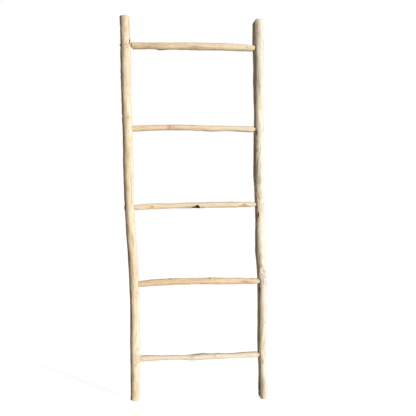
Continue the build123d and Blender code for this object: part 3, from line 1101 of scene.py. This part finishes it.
# Painted shadow in the gaps round the rungs: how dark it is, seen from the middle and from the
# outside
neck_shade = 0.5
socket_shades = {"left": 0.3, "right": 0.85}
bore_shade = 0.08


def joint_cuts(side, rail, rung, joint):
    """The cutters of a joint's bore, socket and nail pocket, and the painted gap shadows round them.
    """
    sign, edge = inward[side], joint["edge"]
    z, y = (float(value) for value in rung.at(rung.start if side == "left" else rung.end)[:2])
    if side == "left" and rung.neck:
        z, bore, depth = z + neck_offset, neck_size + socket_gap, neck_depth
        mouth, out = neck_size + neck_slope * neck_depth + socket_gap, rail.high.x + cutter_overrun
        gap_shadows = [((y, z), mouth, sign, neck_shade)]
    else:
        bore, depth, out = bore_radius, socket_depth, edge + sign * cutter_overrun
        mouth = float(rung.at(edge)[2] * rung.tapered(edge)) + socket_gap
        gap_shadows = [((y, z), mouth, sign, socket_shades[side]), ((y, z), bore, -sign, bore_shade)]
    nail, (low, high) = joint["nail"], joint["nail_box"]
    front = abs(low.y - rail.low.y) < abs(high.y - rail.high.y)
    head, outward = (low.y, -1) if front else (high.y, 1)
    lines = (
        ((rail.low.x - cutter_overrun, y, z), (rail.high.x + cutter_overrun, y, z), bore),
        ((edge - sign * depth, y, z), (out, y, z), mouth),
        (
            (nail.x, head - outward * pocket_inside, nail.z),
            (nail.x, head + outward * pocket_outside, nail.z),
            pocket_radius,
        ),
    )
    return [drum(Vector(start), Vector(end), radius) for start, end, radius in lines], gap_shadows


# The wood of each branch, its bores and the pockets of its nails
woods = {}
for side, rail in rails.items():
    piece = rail.wood(rail_ring_step, rail_girth_points, rail_edge_round)
    cutters, gap_shadows = [], []
    for number, rung in rungs.items():
        drums, edges = joint_cuts(side, rail, rung, joints[number, side])
        cutters += drums
        gap_shadows += edges
    cut(piece, cutters)
    give_marks(piece, rail, gap_shadows)
    woods[rail.node] = piece
for rung in rungs.values():
    piece = rung.wood(rung_ring_step, rung_girth_points, rung_edge_round)
    give_marks(piece, rung, [])
    woods[rung.node] = piece

# The pale, middle and deep colours of each branch's wood; the slot names listed after them are not
# used
wood_colours = {
    "left_rail": ((0.875, 0.788, 0.62), (0.81, 0.667, 0.475), (0.69, 0.485, 0.3)),
    "right_rail": ((0.9, 0.86, 0.75), (0.845, 0.773, 0.635), (0.72, 0.59, 0.45)),
    "rung_1": ((0.98, 0.81, 0.59), (0.93, 0.73, 0.49), (0.79, 0.55, 0.32)),
    "rung_2": ((1.0, 0.82, 0.6), (0.95, 0.72, 0.47), (0.82, 0.53, 0.3)),
    "rung_3": ((1.0, 0.855, 0.655), (0.96, 0.78, 0.55), (0.84, 0.59, 0.37)),
    "rung_4": ((0.98, 0.77, 0.53), (0.94, 0.68, 0.43), (0.82, 0.505, 0.26)),
    "rung_5": ((1.0, 0.9, 0.73), (0.98, 0.845, 0.65), (0.87, 0.69, 0.49)),
}
slots = dict.fromkeys(wood_colours, "rung_wood")
slots.update(left_rail="left_rail_wood", right_rail="right_rail_wood", rung_5="pale_rung_wood")
grain_shift = 3.7
for count, (node, piece) in enumerate(woods.items()):
    piece.data.materials.clear()
    material = wood_material(node + "_wood", *wood_colours[node], grain_shift * count)
    piece.data.materials.append(material)
    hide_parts(node)
    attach(piece, "root")

# Nails keep their CAD shape
steel = steel_material()
for number, side in joints:
    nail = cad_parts[f"nail_{number}_{side}"]
    nail.data.materials.clear()
    nail.data.materials.append(steel)


def glowing(tree, kind, colour, strength):
    """A background or emission shader of one colour."""
    node = tree.nodes.new(kind)
    node.inputs["Color"].default_value = (*colour, 1)
    node.inputs["Strength"].default_value = strength
    return node


def show(tree, lighting, shown, output, *rays):
    """Ends a tree with a shader that lights and one for the camera and the other rays named."""
    path = tree.nodes.new("ShaderNodeLightPath")
    seen = path.outputs["Is Camera Ray"]
    for ray in rays:
        either = tree.nodes.new("ShaderNodeMath")
        either.operation = "MAXIMUM"
        tree.links.new(seen, either.inputs[0])
        tree.links.new(path.outputs[ray], either.inputs[1])
        seen = either.outputs[0]
    choose = tree.nodes.new("ShaderNodeMixShader")
    tree.links.new(seen, choose.inputs["Fac"])
    tree.links.new(lighting.outputs[0], choose.inputs[1])
    tree.links.new(shown.outputs[0], choose.inputs[2])
    tree.links.new(choose.outputs[0], tree.nodes.new(output).inputs["Surface"])


# Floor
floor_half = 9
floor_corners = [(x * floor_half, y * floor_half, 0) for x, y in ((-1, -1), (1, -1), (1, 1), (-1, 1))]
floor_mesh = bpy.data.meshes.new("floor")
floor_mesh.from_pydata(floor_corners, [], [(0, 1, 2, 3)])
floor = place_object("floor", floor_mesh)
floor_material = bpy.data.materials.new("floor")
floor_material.use_nodes = True
tree = floor_material.node_tree
tree.nodes.clear()
matt = tree.nodes.new("ShaderNodeBsdfDiffuse")
matt.inputs["Color"].default_value = (0.82, 0.765, 0.7, 1)
glow = glowing(tree, "ShaderNodeEmission", (0.98, 0.99, 1.0), 0.865)
both = tree.nodes.new("ShaderNodeAddShader")
tree.links.new(matt.outputs[0], both.inputs[0])
tree.links.new(glow.outputs[0], both.inputs[1])
show(tree, matt, both, "ShaderNodeOutputMaterial", "Is Glossy Ray")
floor_mesh.materials.append(floor_material)


def sun(name, azimuth, elevation, strength, spread):
    """A lamp that shines from an azimuth, 0 at the front and 90 at the right, and an elevation."""
    light = bpy.data.lights.new(name, "SUN")
    light.energy = strength
    light.color = sun_colour
    light.angle = math.radians(spread)
    lamp = place_object(name, light)
    a, e = math.radians(azimuth), math.radians(elevation)
    toward = Vector((math.sin(a) * math.cos(e), -math.cos(a) * math.cos(e), math.sin(e)))
    lamp.rotation_mode = "QUATERNION"
    lamp.rotation_quaternion = toward.to_track_quat("Z", "Y")


# Light: a key from the right front and one from behind, both nearly level, and a warm fill
sun_colour = (1.0, 0.98, 0.95)
sun("key", azimuth=48.5, elevation=5, strength=3.9, spread=5)
sun("back", azimuth=190, elevation=6, strength=2.2, spread=8)
world = bpy.data.worlds.new("studio")
bpy.context.scene.world = world
world.use_nodes = True
tree = world.node_tree
tree.nodes.clear()
fill = glowing(tree, "ShaderNodeBackground", (1.0, 0.79, 0.48), 0.075)
white = glowing(tree, "ShaderNodeBackground", (1, 1, 1), 1.0)
show(tree, fill, white, "ShaderNodeOutputWorld", "Is Glossy Ray", "Is Transmission Ray")

# Camera at the photograph's angle: level, in front, rolled a little
camera_distance = 2.0
camera_x = 0.053
camera_height = 0.745
frame_width = 1.6245
camera_roll = -0.848
sensor_width = 36.0
camera_data = bpy.data.cameras.new("camera")
camera_data.sensor_width = sensor_width
camera_data.lens = sensor_width * camera_distance / frame_width
camera = place_object("camera", camera_data)
camera.location = (camera_x, -camera_distance, camera_height)
level = Matrix.Rotation(math.radians(90), 4, "X")
camera.rotation_euler = (level @ Matrix.Rotation(math.radians(camera_roll), 4, "Z")).to_euler()
bpy.context.scene.camera = camera
bpy.context.scene.view_settings.view_transform = "Standard"
